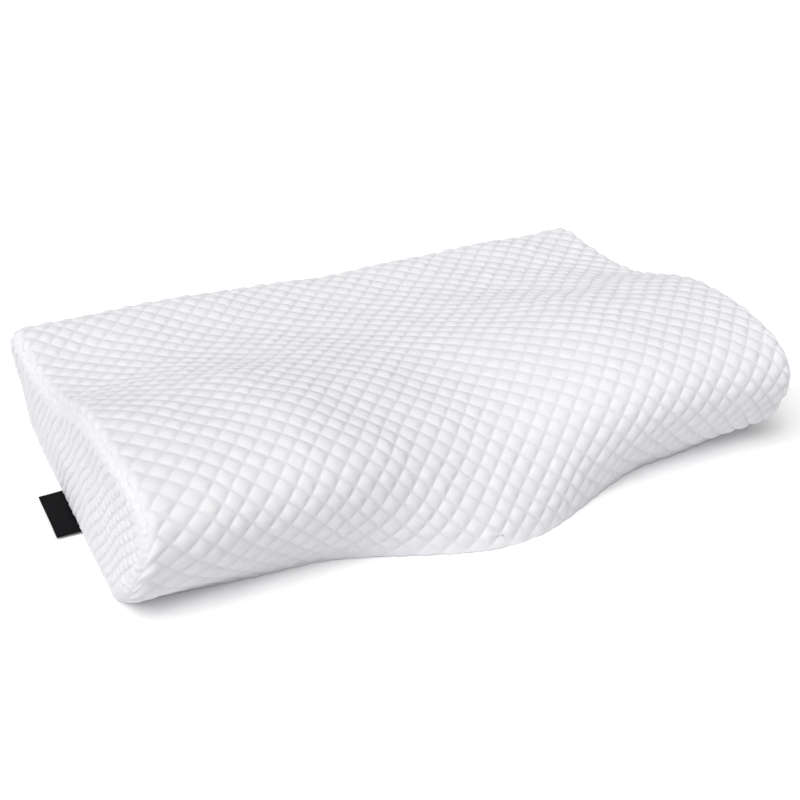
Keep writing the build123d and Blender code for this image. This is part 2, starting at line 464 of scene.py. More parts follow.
@dataclass
class Surface:
    """A mesh in the making: points in millimetres, faces of any size, cloth coordinates and puff, which masks
    the painted crease shade.
    """

    points: np.ndarray
    faces: list
    cloth: np.ndarray | None = None
    puff: np.ndarray | None = None

    @staticmethod
    def joined(parts: list["Surface"]) -> "Surface":
        """One surface of several."""
        starts = np.cumsum([0] + [len(part.points) for part in parts[:-1]])
        faces = [face + start for part, start in zip(parts, starts) for face in part.faces]
        return Surface(np.concatenate([part.points for part in parts]), faces)

    def volume(self) -> float:
        """The signed volume from the points' middle to the faces: below 0 where they look inwards."""
        off = self.points - self.points.mean(0)
        total = 0.0
        for face in self.faces:
            first, *rest = (off[face[:, corner]] for corner in range(face.shape[1]))
            total += sum((first * np.cross(one, two)).sum() for one, two in zip(rest[:-1], rest[1:]))
        return total

    def build(self, name: str, material: bpy.types.Material) -> bpy.types.Object:
        """Writes the mesh, with its faces outwards.

        Args:
            name: the piece's name.
            material: its finish.

        Returns:
            The object, at the origin, in metres.
        """
        mesh = bpy.data.meshes.new(name)
        if self.volume() < 0:
            self.faces = [turned(face) for face in self.faces]
        rows = np.concatenate([face.ravel() for face in self.faces]).astype(np.int32)
        sizes = np.concatenate([np.full(len(face), face.shape[1]) for face in self.faces])
        mesh.vertices.add(len(self.points))
        mesh.vertices.foreach_set("co", (self.points * MM).astype(np.float32).ravel())
        mesh.loops.add(len(rows))
        mesh.loops.foreach_set("vertex_index", rows)
        mesh.polygons.add(len(sizes))
        mesh.polygons.foreach_set("loop_start", np.concatenate([[0], np.cumsum(sizes)[:-1]]).astype(np.int32))
        mesh.polygons.foreach_set("use_smooth", np.ones(len(sizes), bool))
        if self.cloth is not None:
            layer = mesh.uv_layers.new(name="cloth")
            layer.data.foreach_set("uv", self.cloth[rows].astype(np.float32).ravel())
        if self.puff is not None:
            # The puff attribute carries the mask of the painted crease shade in the quilted finish.
            layer = mesh.attributes.new("puff", "FLOAT", "POINT")
            layer.data.foreach_set("value", self.puff.astype(np.float32).ravel())
        mesh.update(calc_edges=True)
        mesh.validate()
        mesh.materials.append(material)
        made = bpy.data.objects.new(name, mesh)
        bpy.context.scene.collection.objects.link(made)
        return made


def grid_faces(rows: int, columns: int, round_rows: bool = False, round_columns: bool = False) -> np.ndarray:
    """Quads over a grid of points, each from (i, j) to (i, j+1), (i+1, j+1) and (i+1, j).

    Args:
        rows: how many rows of points.
        columns: how many columns of points.
        round_rows: the last row joins the first.
        round_columns: the last column joins the first.

    Returns:
        An array of four indices for each quad.
    """
    i, j = np.meshgrid(
        np.arange(rows if round_rows else rows - 1),
        np.arange(columns if round_columns else columns - 1),
        indexing="ij",
    )
    below, beside = (i + 1) % rows, (j + 1) % columns
    corners = [i * columns + j, i * columns + beside, below * columns + beside, below * columns + j]
    return np.stack([corner.ravel() for corner in corners], axis=1)


def turned(faces: np.ndarray) -> np.ndarray:
    """The same faces, facing the other way."""
    return faces[:, ::-1]


def unit(vectors: np.ndarray, least: float = 0.0) -> np.ndarray:
    """The vectors over their lengths, none of which is taken as under least."""
    return vectors / np.maximum(np.linalg.norm(vectors, axis=-1, keepdims=True), least)


def ahead_of(loop: np.ndarray) -> np.ndarray:
    """Unit directions along a closed loop, or many loops side by side."""
    return unit(np.roll(loop, -1, 0) - np.roll(loop, 1, 0))


def combined(*parts: object) -> np.ndarray:
    """Coordinates of any matching shapes, side by side in a last dimension."""
    return np.stack(np.broadcast_arrays(*parts), axis=-1)


def tube(path: np.ndarray, spoke: np.ndarray, radius: float, sides: int, closed: bool) -> Surface:
    """A round thread: at each point of a path, a circle square to it, centred on it.

    Args:
        path: the points that it follows.
        spoke: at each point, a direction that isn't along the path, which sets where the circle starts.
        radius: the thread's radius.
        sides: how many sides the circle has.
        closed: the path's end joins its start.

    Returns:
        The surface, with flat ends if it is open.
    """
    ahead = ahead_of(path) if closed else unit(np.gradient(path, axis=0))
    side = unit(np.cross(ahead, spoke))
    up = np.cross(side, ahead)
    turn = np.linspace(0, 2 * np.pi, sides, endpoint=False)[None, :, None]
    points = path[:, None] + radius * (np.cos(turn) * side[:, None] + np.sin(turn) * up[:, None])
    faces = [turned(grid_faces(len(path), sides, closed, True))]
    if not closed:
        faces.append(np.arange(sides)[None, :])
        faces.append(np.arange(sides)[None, ::-1] + (len(path) - 1) * sides)
    return Surface(points.reshape(-1, 3), faces)


def eased(value: np.ndarray, low: float, high: float) -> np.ndarray:
    """Eases from 0 at low to 1 at high, flat at both ends."""
    share = np.clip((value - low) / (high - low), 0.0, 1.0)
    return share * share * (3 - 2 * share)


def along_each(targets: np.ndarray, places: np.ndarray, values: np.ndarray) -> np.ndarray:
    """Interpolates many tables at once: each column of values, known at its places, at its targets."""
    apart = 1e5 * np.arange(places.shape[1])
    flat = np.interp((targets + apart).T.ravel(), (places + apart).T.ravel(), values.T.ravel())
    return flat.reshape(targets.shape[1], targets.shape[0]).T


def ripples(seed: int, x: np.ndarray, y: np.ndarray, length: float, waves: int = 7) -> np.ndarray:
    """A smooth, uneven field of about unit size: a sum of sines of random heading, length and phase."""
    rng = np.random.default_rng(seed)
    total = np.zeros(np.broadcast(x, y).shape)
    for _ in range(waves):
        heading, scale, phase = rng.uniform(0, 2 * np.pi), rng.uniform(0.7, 1.6), rng.uniform(0, 2 * np.pi)
        run = x * np.cos(heading) + y * np.sin(heading)
        total += np.sin(2 * np.pi * scale * run / length + phase)
    return total * math.sqrt(2 / waves)


# ---------------------------------------------------------------- the pillow's form


@dataclass(frozen=True)
class Form:
    """The moulded contour: a front lobe with two wings and a cradle, a valley and a low back lobe."""

    wing: tuple = (
        (-139, -8), (-146, 2), (-159, 20), (-171, 40), (-178, 64), (-173, 86), (-157, 102), (-128, 113),
        (-70, 121), (-15, 116), (40, 102.5), (100, 94), (150, 95), (178, 95.5), (192, 91.5), (198.5, 85),
    )
    cradle: tuple = (
        (-203, -8), (-200, 2), (-195, 19), (-185, 37), (-171, 55), (-155, 72), (-136, 84.5), (-106, 94.5),
        (-58, 103), (-15, 104), (40, 98.5), (100, 93.5), (150, 94), (178, 95), (192, 91.5), (198.5, 85),
    )
    end_x: float = 305.0
    back_y: float = 200.0
    wall_top: float = 78.0
    wall_foot: float = 18.0
    under_floor: float = 6.0
    heel: float = 10.0
    edge_radius: float = 14.0
    cradle_reach: float = 185.0
    wing_start: float = 180.0
    toe_sweep: float = 14.0
    sag_start: float = 190.0
    end_sag: float = 5.0
    sag_share: tuple = (0, 0, 0, 0, 0, 0, 0, 0, 0, 0, 1, 1, 0.6, 0.2, 0, 0)
    lift_reach: float = 200.0
    left_lift: float = 9.0
    right_lift: float = 1.0
    lift_share: tuple = (0, 0, 0, 0, 0, 0, 0, 0, 0, 0, 0, 0.1, 0.5, 0.9, 1, 1)
    right_drop: float = 2.0
    drop_share: tuple = (0, 0, 0, 0, 0.3, 0.8, 1, 1, 1, 1, 0.6, 0, 0, 0, 0, 0)
    splay: float = 0.067
    splay_pivot: float = 78.0
    back_tuck: float = 1.5
    crown_bow: float = 3.0
    right_reach: float = 3.5
    splay_start: float = 190.0
    splay_heights: tuple = (12.0, 92.0)
    tuck_span: tuple = (110, 200)
    bow_y: float = -80.0
    bow_width: float = 60.0
    bow_heights: tuple = (40, 112)
    reach_start: float = 180.0
    reach_heights: tuple = (10, 60)
    end_room: float = 3.0
    softness: float = 3.0
    zip_z: float = 34.0
    samples: int = 1100

    def spline_rows(self, knots: np.ndarray, count: int) -> np.ndarray:
        """The natural cubic spline's weights: a matrix that turns the knots' values into count points.

        The second derivatives m solve the usual band of equations, with none at the ends, and each
        span is the straight run between its knots less a cubic of those second derivatives.
        """
        size = len(knots)
        gaps = np.diff(knots)
        left, right = np.eye(size), np.zeros((size, size))
        inner = np.arange(1, size - 1)
        left[inner, inner - 1], left[inner, inner + 1] = gaps[:-1], gaps[1:]
        left[inner, inner] = 2 * (gaps[:-1] + gaps[1:])
        right[inner, inner - 1], right[inner, inner + 1] = 6 / gaps[:-1], 6 / gaps[1:]
        right[inner, inner] = -6 / gaps[:-1] - 6 / gaps[1:]
        bend = np.linalg.solve(left, right)
        at = np.linspace(knots[0], knots[-1], count)
        span = np.clip(np.searchsorted(knots, at) - 1, 0, size - 2)
        gap = gaps[span][:, None]
        far = ((at - knots[span]) / gaps[span])[:, None]
        near = 1 - far
        one = np.eye(size)
        straight = near * one[span] + far * one[span + 1]
        curve = (near**3 - near) * bend[span] + (far**3 - far) * bend[span + 1]
        return straight + curve * gap**2 / 6

    def knots(self, x: np.ndarray) -> np.ndarray:
        """The section's points at each x, from the toe over the top to the top of the back wall."""
        reach = np.minimum(np.abs(x) / self.cradle_reach, 1.0)
        share = 0.5 * (1 + np.cos(np.pi * reach))[None, :, None]
        wing, cradle = (np.array(part, float)[:, None, :] for part in (self.wing, self.cradle))
        points = wing + share * (cradle - wing)
        points[:2, :, 0] += self.toe_sweep * eased(np.abs(x), self.wing_start, self.end_x)
        lift = np.where(x < 0, self.left_lift, self.right_lift)
        lift = lift * np.sin(np.pi / 2 * np.minimum(np.abs(x) / self.lift_reach, 1.0))
        sag = self.end_sag * eased(np.abs(x), self.sag_start, self.end_x)
        drop = self.right_drop * (eased(x, 60, 200) + eased(x, 240, self.end_x))
        for shares, amount in ((self.lift_share, lift), (self.sag_share, -sag), (self.drop_share, -drop)):
            points[..., 1] += np.array(shares)[:, None] * amount
        top = np.broadcast_to([self.back_y, self.wall_top], (1, len(x), 2))
        return np.concatenate([points, top])

    def loops(self, x: np.ndarray, inset: np.ndarray) -> tuple[np.ndarray, np.ndarray]:
        """Closed sections at each x, moved inwards by inset.

        The raw section is the spline over the top, the back wall, the heel and a line under the
        floor. It is softened along its length by a Gaussian, moved along its normals, and cut flat
        where it would reach below the floor.

        Args:
            x: the sections' places.
            inset: how far each is moved inwards.

        Returns:
            The (y, z) points, samples by sections, from the zip's height on the back wall upwards and
            over the top, with the last point on the first; and the lengths along each section.
        """
        knots = self.knots(x)
        spread = np.linalg.norm(np.diff(knots.mean(1), axis=0), axis=1)
        weights = self.spline_rows(np.concatenate([[0], np.cumsum(spread)]), 560)
        top = np.tensordot(weights, knots, 1)[::-1]
        count = len(x)

        def line(start: np.ndarray, end: np.ndarray, points: int) -> np.ndarray:
            """Evenly spaced points from start up to, but not at, end."""
            share = np.linspace(0, 1, points, endpoint=False)[:, None, None]
            return start + share * (end - start)

        zip_point = np.broadcast_to([self.back_y, self.zip_z], (count, 2)).astype(float)
        foot = np.broadcast_to([self.back_y, self.wall_foot], (count, 2)).astype(float)
        heel = np.broadcast_to([self.back_y - self.heel, -self.under_floor], (count, 2)).astype(float)
        raw = np.concatenate([
            line(zip_point, top[0], 44), top[:-1], line(top[-1], heel, 330),
            line(heel, foot, 26), line(foot, zip_point, 16), zip_point[None],
        ])
        even = self.evened(raw)[0][:-1]
        pace = np.linalg.norm(np.diff(even, axis=0), axis=2).mean(0)
        turns = np.fft.rfftfreq(len(even))[:, None]
        blur = np.exp(-2 * (np.pi * turns * self.softness / pace) ** 2)[:, :, None]
        soft = np.fft.irfft(np.fft.rfft(even, axis=0) * blur, len(even), axis=0)
        ahead = ahead_of(soft)
        inward = np.stack([-ahead[..., 1], ahead[..., 0]], axis=2)
        moved = soft + inset[None, :, None] * inward
        return self.evened(np.concatenate([moved, moved[:1]]), inset)

    def evened(self, loops: np.ndarray, inset: np.ndarray | None = None) -> tuple[np.ndarray, np.ndarray]:
        """The loops evenly spaced, and the lengths along them; cut at the floor if inset is given."""
        if inset is not None:
            rise = np.maximum(inset - self.under_floor, 0.0)
            loops[..., 1] = np.maximum(loops[..., 1], rise)
        steps = np.linalg.norm(np.diff(loops, axis=0), axis=2)
        lengths = np.concatenate([np.zeros((1, loops.shape[1])), np.cumsum(steps + 1e-9, axis=0)])
        targets = np.linspace(0, 1, self.samples)[:, None] * lengths[-1]
        even = np.stack([along_each(targets, lengths, loops[..., k]) for k in (0, 1)], axis=2)
        return even, targets

    def splayed(self, points: np.ndarray) -> np.ndarray:
        """Points moved as the ends lie: the left foot splays out at the front and tucks in at the back.

        The shift along X is nearly straight in y, full at the floor and gone near the top, and the
        seam bows out a little over the wing's crown. All of it fades over the last third of the
        pillow's half length. The right end reaches a little further above its foot.
        """
        x, y, z = points[..., 0], points[..., 1], points[..., 2]
        tip = self.end_x - self.end_room
        near = eased(-x, self.splay_start, tip) ** 1.5
        low = 1 - eased(z, *self.splay_heights)
        shift = (self.splay * (y - self.splay_pivot) + self.back_tuck * eased(y, *self.tuck_span)) * low
        bow = np.exp(-(((y - self.bow_y) / self.bow_width) ** 2))
        shift = shift - self.crown_bow * bow * eased(z, *self.bow_heights)
        reach = self.right_reach * eased(x, self.reach_start, tip) * eased(z, *self.reach_heights)
        shift = near * shift + reach
        return points + np.stack([shift, np.zeros_like(x), np.zeros_like(x)], axis=-1)

    def round_end(self, run: np.ndarray) -> tuple[np.ndarray, np.ndarray]:
        """The end's rounding: x and how far the section is drawn in, for each run of cloth along X."""
        straight = self.end_x - self.edge_radius
        turn = np.clip((np.abs(run) - straight) / self.edge_radius, 0.0, np.pi / 2)
        x = np.sign(run) * (np.minimum(np.abs(run), straight) + self.edge_radius * np.sin(turn))
        return x, self.edge_radius * (1 - np.cos(turn))


@dataclass(frozen=True)
class Quilt:
    """The diamonds: sewn creases on the slant both ways, with puffed wadding between them."""

    pitch: float = 19.44
    steps: int = 10
    height: float = 2.1
    sunk: float = 0.55
    fullness: float = 2.0
    crown: float = 0.75
    unevenness: float = 0.13
    seed: int = 19

    def relief(self, across: np.ndarray, along: np.ndarray) -> np.ndarray:
        """Each cell's height, from 0 on its creases to about 1 in its middle.

        With a and b the distances from the middle towards the two pairs of creases, from 0 to 1, it
        is ((1 - a^fullness)(1 - b^fullness))^crown, times an uneven fill and a slight lean.
        """
        first, second = across + along, across - along
        a, b = (first % 1.0) - 0.5, (second % 1.0) - 0.5
        side_a, side_b = (np.clip(1 - np.abs(2 * part) ** self.fullness, 0, 1) for part in (a, b))
        rise = side_a * side_b
        rng = np.random.default_rng(self.seed)
        fill, lean_a, lean_b = np.clip(rng.standard_normal((3, 64, 64)), -1.4, 1.4)
        cell = np.floor(first + 1e-6).astype(int) % 64, np.floor(second + 1e-6).astype(int) % 64
        uneven = 1 + self.unevenness * (fill[cell] + lean_a[cell] * a + lean_b[cell] * b)
        return rise**self.crown * uneven

    def triangles(self, rows: np.ndarray, columns: np.ndarray) -> np.ndarray:
        """Triangles over a grid whose lines are at whole steps, cut so that their edges follow the creases.

        Args:
            rows: each row's step number, falling by one.
            columns: each column's step number, rising by one.

        Returns:
            An array of three indices for each triangle, that face along rows cross columns.
        """
        quads = grid_faces(len(rows), len(columns))
        v, u = np.meshgrid(rows[:-1], columns[:-1], indexing="ij")
        # Rows fall, so from corner 0 to corner 2 the steps' sum stays, and from 1 to 3 their difference.
        sum_off = (u + v) % self.steps
        difference_off = (u - v + 1) % self.steps
        to_sum = np.minimum(sum_off, self.steps - sum_off).ravel()
        to_difference = np.minimum(difference_off, self.steps - difference_off).ravel()
        straight = quads[to_sum <= to_difference]
        crossed = quads[to_sum > to_difference]
        return np.concatenate([
            straight[:, [0, 1, 2]], straight[:, [0, 2, 3]], crossed[:, [0, 1, 3]], crossed[:, [1, 2, 3]],
        ])


def normals_of(points: np.ndarray) -> np.ndarray:
    """Unit normals of a grid of points: its columns' direction crossed with its rows' direction."""
    return unit(np.cross(np.gradient(points, axis=0), np.gradient(points, axis=1)), 1e-12)


@dataclass
class QuiltedCover:
    """The zip cover: one quilted panel wrapped round the pillow, and a quilted panel at each end."""

    form: Form
    quilt: Quilt
    seam_x: float = 301.0
    even_reach: float = 250.0
    slant: float = 0.025
    slant_row: float = 7.0
    slant_limit: float = -10.0
    middle_phase: float = 9.19
    shoulder_row: float = 15.35
    shoulder_inset: float = 3.0
    upper_row: int = 179
    lower_row: int = -323
    first_column: int = -63
    last_column: int = 247
    wing_stretch: float = 0.035
    zip_half: float = 250.0
    slot_half: float = 5.0
    stitch_line: float = 7.6
    seam_fade: float = 6.0
    panel_fade: float = 13.0
    panel_pitch: float = 12.8
    panel_height: float = 1.8
    seam_depth: float = 1.5
    seam_width: float = 1.7
    thickness: float = 4.0
    panel_crown: float = 2.2
    finish: bpy.types.Material | None = None

    def seam_run(self) -> float:
        """The run of cloth along X from the middle to the end seam."""
        sine = (self.seam_x - self.form.end_x + self.form.edge_radius) / self.form.edge_radius
        return self.form.end_x - self.form.edge_radius + self.form.edge_radius * math.asin(sine)

    def rows_of(self, lengths: np.ndarray, loops: np.ndarray, x: np.ndarray, rows: np.ndarray) -> np.ndarray:
        """How far along each section each quilt row lies.

        From the shoulder the rows follow the cloth's length towards the toe; under the pillow and
        down the back wall they are spread evenly up to the zip's lips.
        """
        y, z = loops[..., 0], loops[..., 1]
        peak = y.max(0)
        before = np.argmax(y < peak - self.shoulder_inset, axis=0)
        column = np.arange(len(x))
        fall = y[before - 1, column] - y[before, column]
        share = (y[before - 1, column] - peak + self.shoulder_inset) / fall
        last = lengths[before - 1, column]
        shoulder = last + share * (lengths[before, column] - last)
        low = z.min(0) + 1.0
        past = len(y) // 3 + np.argmax(z[len(y) // 3 :] < low, axis=0)
        share = (z[past - 1, column] - low) / (z[past - 1, column] - z[past, column])
        last = lengths[past - 1, column]
        toe = last + share * (lengths[past, column] - last)
        reach = np.minimum(np.abs(x) / self.form.cradle_reach, 1.0)
        stretch = 1 + self.wing_stretch * 0.5 * (1 - np.cos(np.pi * reach))
        opening = self.opening(x)
        row = rows[:, None] / self.quilt.steps
        top_row = self.upper_row / self.quilt.steps
        last_row = self.lower_row / self.quilt.steps
        toe_row = self.shoulder_row - (toe - shoulder) / (self.quilt.pitch * stretch)
        wall = shoulder - (row - self.shoulder_row) / (top_row - self.shoulder_row) * (shoulder - opening)
        over = shoulder + (self.shoulder_row - row) * self.quilt.pitch * stretch
        end = lengths[-1] - opening
        under = toe + (toe_row - row) / (toe_row - last_row) * (end - toe)
        return np.where(row > self.shoulder_row, wall, np.where(row > toe_row, over, under))

    def opening(self, x: np.ndarray) -> np.ndarray:
        """Half the gap between the zip's lips at x, which closes past the zip's ends."""
        return self.slot_half * (1 - eased(np.abs(x), self.zip_half - 1, self.zip_half + 7)) + 0.15

    def crease_shade_mask(self, puff: np.ndarray, fade: np.ndarray) -> np.ndarray:
        """What the finish reads as puff, the mask of its painted crease shade: the relief where it is full,
        and plain cloth where it fades out.
        """
        return np.clip(puff * fade + (1 - fade) * 0.75, 0, 1.3)

    def wrap_base(self, rows: np.ndarray, columns: np.ndarray) -> tuple[np.ndarray, np.ndarray, np.ndarray]:
        """The wrapped panel before it is quilted.

        Args:
            rows: the quilt rows' step numbers.
            columns: the quilt columns' step numbers.

        Returns:
            The grid of points, each point's run along X, and its length along the section.
        """
        seam = self.seam_run()
        stations = np.linspace(-seam, seam, 309)
        x, drawn = self.form.round_end(stations)
        loops, lengths = self.form.loops(x, drawn)
        at = self.rows_of(lengths, loops, x, rows)
        sections = np.stack([along_each(at, lengths, loops[..., k]) for k in (0, 1)], axis=2)
        row = rows[:, None] / self.quilt.steps
        slant = self.slant * (np.maximum(row, self.slant_limit) - self.slant_row)
        run = self.quilt.pitch * (columns[None, :] / self.quilt.steps - self.middle_phase - slant)
        reach = np.where(run < 0, -run[:, :1], run[:, -1:])
        past = np.maximum(np.abs(run) - self.even_reach, 0.0) / (reach - self.even_reach)
        run = np.sign(run) * (np.minimum(np.abs(run), self.even_reach) + past * (seam - self.even_reach))
        table = np.broadcast_to(stations[:, None], (len(stations), len(rows)))
        spread = [along_each(run.T, table, part.T).T for part in (sections[..., 0], sections[..., 1], at)]
        points = np.stack([self.form.round_end(run)[0], spread[0], spread[1]], axis=2)
        return points, run, spread[2]

    def make_wrap(self) -> bpy.types.Object:
        """The wrapped panel: quilt relief that fades at the seams, lips at the zip, and gentle creases."""
        rows = np.arange(self.upper_row, self.lower_row - 1, -1)
        columns = np.arange(self.first_column, self.last_column + 1)
        points, run, at = self.wrap_base(rows, columns)
        out = normals_of(points)
        across = columns[None, :] / self.quilt.steps
        along = rows[:, None] / self.quilt.steps
        puff = self.quilt.relief(across, along)
        from_seam = self.seam_run() - np.abs(run)
        from_zip = np.where(points[..., 1] > 180, np.abs(points[..., 2] - self.form.zip_z), 99.0)
        fade = 0.12 + 0.88 * eased(from_seam, 1.0, self.seam_fade)
        fade *= 0.1 + 0.9 * eased(from_zip, self.stitch_line, self.stitch_line + 7)
        fade *= 0.5 + 0.5 * eased(points[..., 2], 0.0, 18.0)
        height = self.quilt.height * fade * (puff - self.quilt.sunk)
        height -= self.seam_depth * np.exp(-((from_seam / self.seam_width) ** 2))
        height += 0.45 * np.exp(-from_seam / 9) * ripples(Seed.GATHER, at, run * 0.05, 11.0)
        in_zip = eased(self.zip_half + 8 - np.abs(run), 0.0, 4.0)
        height -= 0.55 * in_zip * np.exp(-(((from_zip - self.stitch_line) / 0.9) ** 2))
        height -= 0.35 * np.exp(-((from_zip / 6.0) ** 2))
        height -= 1.1 * (1 - in_zip) * np.exp(-((from_zip / 1.3) ** 2))
        swell = ripples(Seed.SWELL, points[..., 0], points[..., 1], 85.0)
        height += 0.5 * swell * eased(points[..., 2], 30, 80) * eased(from_seam, 0, 30)
        points = points + out * height[..., None]
        drift = 0.5 * fade * eased(from_seam, 0, 20)
        points[..., 0] += drift * ripples(Seed.DRIFT_ALONG, run, at, 70.0)
        points[..., 2] += (out[..., 1] ** 2) * drift * ripples(Seed.DRIFT_UP, run, at, 70.0) * (from_zip > 90)
        points[..., 2] = np.maximum(points[..., 2], 0.02)
        # Painted shade: this mask darkens the finish along the sewn creases.
        wrap_shade_mask = self.crease_shade_mask(puff, fade)
        lips = self.lips(points, run)
        cloth = combined(across, along) * self.quilt.pitch / 10
        upper_cloth, lower_cloth = (np.repeat(cloth[edge : edge + 1], 3, 0) for edge in (0, len(rows) - 1))
        all_points = np.concatenate([lips[0], points, lips[1]])
        all_cloth = np.concatenate([upper_cloth, cloth, lower_cloth])
        plain = np.full((3, len(columns)), 0.8)
        all_shade_mask = np.concatenate([plain, wrap_shade_mask, plain])
        step_rows = np.concatenate([rows[0] + np.array([3, 2, 1]), rows, rows[-1] - np.array([1, 2, 3])])
        more = np.array([1, 2])
        step_columns = np.concatenate([columns[0] - more[::-1], columns, columns[-1] + more])
        surface = Surface(
            self.form.splayed(self.with_allowance(all_points)).reshape(-1, 3),
            [self.quilt.triangles(step_rows, step_columns)],
            np.pad(all_cloth, ((0, 0), (2, 2), (0, 0)), "edge").reshape(-1, 2),
            np.pad(all_shade_mask, ((0, 0), (2, 2)), "edge").ravel(),
        )
        return surface.build("quilted_wrap", self.finish)

    def with_allowance(self, points: np.ndarray) -> np.ndarray:
        """The grid with two more columns at each end, where the seam allowance turns in behind the seam."""
        made = [points]
        for edge, sign in ((0, -1.0), (points.shape[1] - 1, 1.0)):
            line = points[:, edge]
            ahead = unit(np.gradient(line, axis=0)[:, 1:], 1e-9)
            inward = np.stack([np.zeros(len(line)), -ahead[:, 1], ahead[:, 0]], axis=1)
            turns = [line + deep * inward - [sign * back, 0, 0] for deep, back in ((1.3, 0.1), (3.2, 0.7))]
            turns = [np.maximum(turn, [-np.inf, -np.inf, 0.02]) for turn in turns]
            near, far = (turn[:, None] for turn in turns)
            made = [far, near, *made] if sign < 0 else [*made, near, far]
        return np.concatenate(made, axis=1)

    def lips(self, points: np.ndarray, run: np.ndarray) -> tuple[np.ndarray, np.ndarray]:
        """Three more rows at each edge of the wrapped panel, that fold its cloth in behind the slot."""
        folds = ((0.45, 0.45), (1.5, 0.7), (self.thickness - 0.7, 0.7))
        made = []
        for edge, sign in ((0, 1.0), (len(points) - 1, -1.0)):
            opened = (self.opening(run[edge]) / self.slot_half)[:, None]
            shift = np.array([[0.0, -inward, 0.0] for inward, _ in folds])[:, None, :]
            tuck = np.array([[0.0, 0.0, -sign * down] for _, down in folds])[:, None, :]
            made.append(points[edge][None] + shift + tuck * opened[None])
        return made[0][::-1], made[1]

    def make_end(self, side: Side) -> bpy.types.Object:
        """An end panel: a slightly crowned quilted face whose rim rolls into the end seam.

        Slices square to the floor run from the foot to the top of the section; the distance to the
        section's edge sets how far the rim rounds over, as a quarter circle of the edge's radius.
        """
        edge_drawn = float(self.form.round_end(np.array([self.seam_run()]))[1][0])
        x = np.array([side.value * self.seam_x])
        rim, _ = self.form.loops(x, np.array([edge_drawn + 0.25]))
        rim = rim[:, 0]
        nose, back = rim[:, 0].argmin(), rim[:, 0].argmax()
        slices, steps = 460, 140
        even = np.linspace(-1, 1, slices)
        near = 0.12
        crowd = (np.sqrt((1 - np.abs(even)) ** 2 + near**2) - near) / (math.hypot(1, near) - near)
        eased_ends = np.sign(even) * (1 - crowd)
        span = (rim[:, 0].min() + 0.01, rim[:, 0].max() - 0.01)
        y = span[0] + (span[1] - span[0]) * (eased_ends + 1) / 2
        start = int(np.argmax(rim[:, 0] < span[1]))
        top = rim[start:nose][::-1]
        bottom = rim[nose:]
        last = int(np.argmax(bottom[:, 0] >= span[1])) or len(bottom)
        bottom = bottom[:last]
        high = np.interp(y, np.maximum.accumulate(top[:, 0]), top[:, 1])
        low = np.interp(y, np.maximum.accumulate(bottom[:, 0]), bottom[:, 1])
        share = np.linspace(0, 1, steps)[:, None]
        z = low + share * (high - low)
        y = np.broadcast_to(y, z.shape)
        marks, ahead = rim[::4], unit(np.gradient(rim, axis=0)[::4])
        place = np.stack([y, z], axis=2)
        nearest = ((place[:, :, None, :] - marks[None, None]) ** 2).sum(3).argmin(2)
        gap = place - marks[nearest]
        inside = np.abs(gap[..., 0] * ahead[nearest, 1] - gap[..., 1] * ahead[nearest, 0])
        radius = self.form.edge_radius
        to_flat = np.clip(radius - edge_drawn - inside, 0, radius)
        x_out = self.form.end_x - radius + np.sqrt(radius**2 - to_flat**2)
        x_out += self.panel_crown * eased(inside, 0, 55)
        wave = ripples(Seed.PANEL_WAVE + side.value, y, z, 80.0)
        across = (y + 0.7 * wave) / self.panel_pitch + 0.37 + side.value * 0.18
        along = (z + 0.4 * wave) / self.panel_pitch + 0.21
        puff = replace(self.quilt, crown=1.0, unevenness=0.06, fullness=2.4).relief(across, along)
        fade = 0.06 + 0.94 * eased(inside, 1.5, self.panel_fade)
        height = self.panel_height * fade * (puff - self.quilt.sunk)
        height -= self.seam_depth * np.exp(-((inside / self.seam_width) ** 2))
        height += 0.4 * np.exp(-inside / 9) * ripples(Seed.PANEL_GATHER + side.value, y + z, z - y, 11.0)
        height += 0.6 * ripples(Seed.PANEL_SWELL + side.value, y, z, 90.0) * eased(inside, 0, 25)
        x_out += height
        points = np.stack([side.value * x_out, y, z], axis=2)
        points[..., 2] = np.maximum(points[..., 2], 0.02)
        index = np.arange(steps * slices).reshape(steps, slices)
        loop = np.concatenate([index[0, :-1], index[:-1, -1], index[-1, :0:-1], index[:0:-1, 0]])
        edge = points.reshape(-1, 3)[loop]
        tucked = [edge - [side.value * back, 0, 0] for back in (1.2, 3.2)]
        first = steps * slices + np.arange(len(loop))
        second = first + len(loop)
        strips = [
            np.stack([outer, np.roll(outer, -1), np.roll(inner, -1), inner], axis=1)
            for outer, inner in ((first, loop), (second, first))
        ]
        faces = [grid_faces(steps, slices), *strips]
        cloth = (np.stack([y, z], axis=2) / 10).reshape(-1, 2)
        # Painted shade: this mask darkens the finish along the sewn creases.
        crease_shade_mask = self.crease_shade_mask(puff, fade).ravel()
        surface = Surface(
            self.form.splayed(np.concatenate([points.reshape(-1, 3), *tucked])),
            faces if side is Side.LEFT else [turned(part) for part in faces],
            np.concatenate([cloth, cloth[loop], cloth[loop]]),
            np.concatenate([crease_shade_mask, crease_shade_mask[loop], crease_shade_mask[loop]]),
        )
        return surface.build(f"quilted_end_{side.name.lower()}", self.finish)


